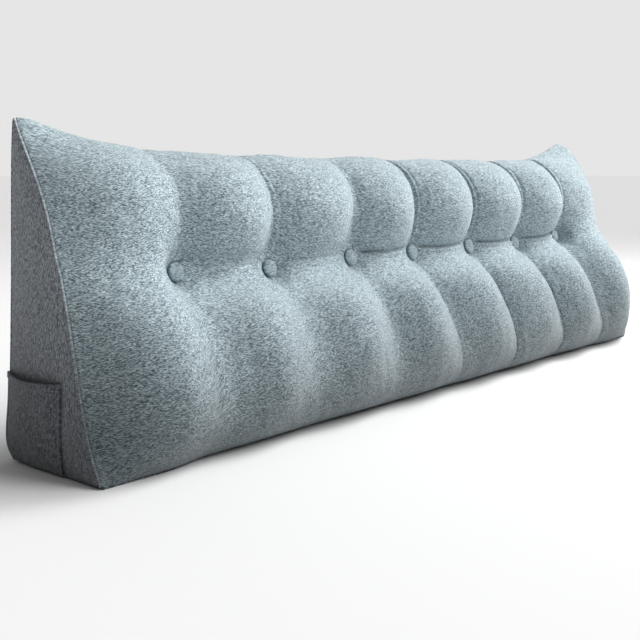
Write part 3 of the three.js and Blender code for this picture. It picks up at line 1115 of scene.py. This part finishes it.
@dataclass(frozen=True)
class SlubLinen:
    """Heathered slubby linen: light and dark yarns that float side by side in an uneven weave.

    The eye gets short light and dark floats along the weft, each a little raised, with painted
    shade in the gaps between them, a matt and slightly fuzzy surface, and painted shade that
    darkens the cloth towards the floor.

    Attributes:
        name: The material's name.
        dark, middle, light: Colours of the darkest, the common and the lightest yarn.
        turned: Whether the floats run upright.
        yarn: Length and width of a float in millimetres.
        foot: Share of the colour that the painted shade leaves at the floor.
        foot_height: Height in metres above which there is no painted shade.
        spread: Half the range of chance over which the colours change.
        cloud: Share of the soft slubs in the shade of a float.
        wander: How far the rows wander, in rows.
        relief: Strength of the floats' relief.
        roughness: Roughness of the surface.
        fuzz: Weight of the fuzz's sheen.
    """

    name: str
    dark: str
    middle: str
    light: str
    turned: bool = False
    yarn: Pair = (2.8, 0.6)
    foot: float = 0.35
    foot_height: float = 0.26
    spread: float = 0.42
    cloud: float = 0.12
    wander: float = 1.2
    relief: float = 0.35
    roughness: float = 0.92
    fuzz: float = 0.25

    def maths(self, tree: Tree, operation: str, *values: object) -> Socket:
        """Adds one calculation.

        Args:
            tree: The material's tree.
            operation: The calculation's name.
            *values: Numbers or output sockets.

        Returns:
            The result's socket.
        """
        given = dict(enumerate(values))
        return add_node(tree, "ShaderNodeMath", given, operation=operation).outputs[0]

    def floats(self, tree: Tree, cloth: object) -> tuple[Socket, ...]:
        """Lays the weave's floats, row by row with every row shifted by chance.

        Args:
            tree: The material's tree.
            cloth: Output with the place on the flat cloth, in metres.

        Returns:
            A chance shade of each float, from 0 to 1, and the float's raised profile.
        """
        parts = add_node(tree, "ShaderNodeSeparateXYZ", {"Vector": cloth})
        along, across = (1, 0) if self.turned else (0, 1)
        wander = add_node(
            tree,
            "ShaderNodeTexNoise",
            {"Vector": cloth, "Scale": 60.0, "Detail": 1.0},
            noise_dimensions="2D",
        ).outputs["Fac"]
        row_place = self.maths(tree, "MULTIPLY", parts.outputs[across], 1 / (self.yarn[1] * MM))
        row_place = self.maths(tree, "MULTIPLY_ADD", wander, self.wander, row_place)
        row = self.maths(tree, "FLOOR", row_place)
        in_row = self.maths(tree, "FRACT", row_place)
        chance = add_node(tree, "ShaderNodeTexWhiteNoise", {"W": row}, noise_dimensions="1D")
        chance = chance.outputs["Value"]
        shift = self.maths(tree, "MULTIPLY", chance, 7.0)
        place = self.maths(tree, "MULTIPLY_ADD", parts.outputs[along], 1 / (self.yarn[0] * MM), shift)
        cell = self.maths(tree, "FLOOR", place)
        in_cell = self.maths(tree, "FRACT", place)
        where = {"Vector": add_node(tree, "ShaderNodeCombineXYZ", {"X": cell, "Y": row})}
        shade = add_node(tree, "ShaderNodeTexWhiteNoise", where, noise_dimensions="2D")
        round_row = self.maths(tree, "PINGPONG", in_row, 0.5)
        round_cell = self.maths(tree, "PINGPONG", in_cell, 0.5)
        profile = self.maths(tree, "MULTIPLY_ADD", round_cell, 0.6, round_row)
        return shade.outputs["Value"], profile

    def make(self) -> Material:
        """Builds the material."""
        material = bpy.data.materials.new(self.name)
        material.use_nodes = True
        tree = material.node_tree
        tree.nodes.clear()
        cloth = add_node(tree, "ShaderNodeUVMap", uv_map="cloth").outputs[0]
        shade, profile = self.floats(tree, cloth)
        slub = add_node(
            tree,
            "ShaderNodeTexNoise",
            {"Vector": cloth, "Scale": 170.0, "Detail": 2.0, "Roughness": 0.7},
            noise_dimensions="2D",
        ).outputs["Fac"]
        shares = {"Factor": self.cloud, "A": shade, "B": slub}
        yarn = add_node(tree, "ShaderNodeMix", shares, data_type="FLOAT")
        colours = add_node(tree, "ShaderNodeValToRGB", {"Fac": yarn})
        stops = colours.color_ramp.elements
        stops[0].position, stops[0].color = 0.5 - self.spread, linear(self.dark)
        stops[1].position, stops[1].color = 0.5 + self.spread, linear(self.light)
        stops.new(0.5).color = linear(self.middle)
        # Painted shade: the colour darkens towards the floor by the object's height.
        place = add_node(tree, "ShaderNodeTexCoord").outputs["Object"]
        height = add_node(tree, "ShaderNodeSeparateXYZ", {0: place}).outputs["Z"]
        painted_floor_shade = add_range(tree, height, (0, self.foot_height), (self.foot, 1))
        # Painted shade: the gaps between the floats are darkened along their raised profile.
        gaps = self.maths(tree, "MULTIPLY_ADD", profile, 0.4, 0.84)
        shading = self.maths(tree, "MULTIPLY", painted_floor_shade, gaps)
        parts = {0: colours, "Scale": shading}
        colour = add_node(tree, "ShaderNodeVectorMath", parts, operation="SCALE")
        bump = {"Strength": self.relief, "Distance": 0.0005, "Height": profile}
        relief = add_node(tree, "ShaderNodeBump", bump)
        shader = add_node(
            tree,
            "ShaderNodeBsdfPrincipled",
            {
                "Base Color": colour,
                "Roughness": self.roughness,
                "Specular IOR Level": 0.15,
                "Sheen Weight": self.fuzz,
                "Sheen Roughness": 0.6,
                "Normal": relief,
            },
        )
        add_node(tree, "ShaderNodeOutputMaterial", {"Surface": shader})
        return material


@dataclass(frozen=True)
class PlainPaper:
    """The studio's even, matt, nearly white floor."""

    name: str = "studio_floor"
    colour: str = "#e0e0e0"

    def make(self) -> Material:
        """Builds the material."""
        material = bpy.data.materials.new(self.name)
        material.use_nodes = True
        shader = material.node_tree.nodes["Principled BSDF"]
        shader.inputs["Base Color"].default_value = linear(self.colour)
        shader.inputs["Roughness"].default_value = 1.0
        shader.inputs["Specular IOR Level"].default_value = 0.0
        return material


# Studio.


@dataclass
class Studio:
    """Plain floor, soft light and the camera at the photograph's angle."""

    focal_px: float = 986.278
    yaw: float = 41.085
    eye: Triple = (-1474.5, -981.8, 380.25)
    horizon_px: float = 175.0
    image_px: float = 640.0
    sensor: float = 36.0
    key_place: Triple = (1.9, -0.6, 2.2)
    key_size: float = 1.3
    key_power: float = 60
    sun_power: float = 3.05
    sun_spread: float = 52
    sun_way: Triple = (-0.58, 0.46, -0.66)
    sky_way: Triple = (0.75, 0.66, 0.0)
    sky_dim: float = 0.07
    sky_bright: float = 0.79
    sky_above: float = 0.2

    def camera(self) -> None:
        """Puts the camera where the photograph was taken from."""
        data = bpy.data.cameras.new("camera")
        data.sensor_width = self.sensor
        data.lens = self.focal_px / self.image_px * self.sensor
        data.shift_y = (self.horizon_px - self.image_px / 2) / self.image_px
        camera = placed("camera", data)
        camera.location = Vector((np.array(self.eye) + SHIFT) * MM)
        camera.rotation_euler = (math.radians(90), 0, math.radians(self.yaw - 90))
        bpy.context.scene.camera = camera

    def floor(self, material: Material) -> None:
        """Lays the floor."""
        mesh = bpy.data.meshes.new("floor")
        reach = 400.0
        corners = [(-reach, -reach, 0), (reach, -reach, 0), (reach, reach, 0), (-reach, reach, 0)]
        mesh.from_pydata(corners, [], [(0, 1, 2, 3)])
        mesh.materials.append(material)
        placed("floor", mesh)

    def hang(self, data: bpy.types.Light, way: Vector, place: Vector) -> None:
        """Hangs a light.

        Args:
            data: The light.
            way: The way it shines.
            place: Where it hangs.
        """
        lamp = placed(data.name, data)
        lamp.location = place
        lamp.rotation_euler = way.to_track_quat("-Z", "Y").to_euler()

    def lights(self) -> None:
        """Hangs a soft disk lamp at the front right and a wide sun."""
        key = bpy.data.lights.new("key", "AREA")
        key.shape = "DISK"
        key.size = self.key_size
        key.energy = self.key_power
        place = Vector(self.key_place)
        self.hang(key, Vector((0, 0, 0.25)) - place, place)
        sun = bpy.data.lights.new("sun", "SUN")
        sun.energy = self.sun_power
        sun.angle = math.radians(self.sun_spread)
        self.hang(sun, Vector(self.sun_way), Vector())

    def sky(self) -> None:
        """Makes a sky that is dim in front of the pillow and bright behind it and overhead."""
        world = bpy.data.worlds.new("sky")
        world.use_nodes = True
        tree = world.node_tree
        sky = tree.nodes["Background"]
        way = add_node(tree, "ShaderNodeTexCoord").outputs["Generated"]
        ways = {0: way, 1: self.sky_way}
        lean = add_node(tree, "ShaderNodeVectorMath", ways, operation="DOT_PRODUCT").outputs["Value"]
        behind = add_range(tree, lean, (0.3, 0.85), (self.sky_dim, self.sky_bright))
        height = add_node(tree, "ShaderNodeSeparateXYZ", {0: way}).outputs["Z"]
        above = add_range(tree, height, (0.2, 0.6), (0, self.sky_above), "LINEAR")
        bright = add_node(tree, "ShaderNodeMath", {0: behind, 1: above}, operation="ADD")
        tree.links.new(bright.outputs[0], sky.inputs["Strength"])
        sky.inputs["Color"].default_value = (1, 1, 1, 1)
        bpy.context.scene.world = world

    def build(self) -> None:
        """Sets the whole studio up."""
        bpy.context.scene.view_settings.view_transform = "Standard"
        self.camera()
        self.floor(PlainPaper().make())
        self.lights()
        self.sky()


def main() -> None:
    """Builds the pillow piece by piece and then the studio."""
    logging.basicConfig(level=logging.INFO, format="%(name)s: %(message)s")
    # Pale blue-grey linen with dark flecks, as the photograph's front.
    cover_cloth = SlubLinen("cover_linen", "#414e56", "#8da0a8", "#cfdfe3").make()
    # The same linen turned upright, greyer and darker as painted shade.
    end_cloth = SlubLinen("end_linen", "#42464c", "#7c8289", "#b0b5bb", turned=True, foot=0.5).make()
    # Duller linen for the sides that are seldom seen.
    back_cloth = SlubLinen("back_linen", "#4f5d65", "#8b9ca4", "#bac9ce").make()
    base_cloth = SlubLinen("base_linen", "#474f57", "#7d8990", "#a9b5bb").make()
    # The darkest cloth, darker than its panel.
    pocket_cloth = SlubLinen(
        "pocket_linen", "#26292e", "#55595f", "#878b91", turned=True, foot=0.8
    ).make()
    # The cover's linen, a shade evener over so small a button.
    button_cloth = SlubLinen("button_linen", "#56666e", "#94a8b0", "#c6d6db").make()
    # Fine light twist that shows as a thin line of stitches.
    thread = SlubLinen("sewing_thread", "#6f7c84", "#8d9aa1", "#aab6bc", yarn=(0.6, 0.3)).make()
    pieces = [Cover().build(cover_cloth)]
    # The raised fold along the end seams, in paler cloth as a painted highlight.
    seam_highlight_cloth = SlubLinen("seam_highlight_linen", "#626d75", "#8b959c", "#bcc5ca", yarn=(1.6, 0.8)).make()
    pieces.append(EndPanel(-1, "end_panel_left").build(end_cloth, seam_highlight_cloth))
    pieces.append(EndPanel(1, "end_panel_right").build(end_cloth, seam_highlight_cloth))
    pieces.append(BackPanel().build(back_cloth))
    pieces.append(BasePanel().build(base_cloth))
    pieces += Pocket().build(pocket_cloth, thread)
    pieces += Buttons().build(button_cloth)
    for piece in pieces:
        log.info("%s: %d faces", piece.name, len(piece.data.polygons))
    Studio().build()


if __name__ == "__main__":
    main()
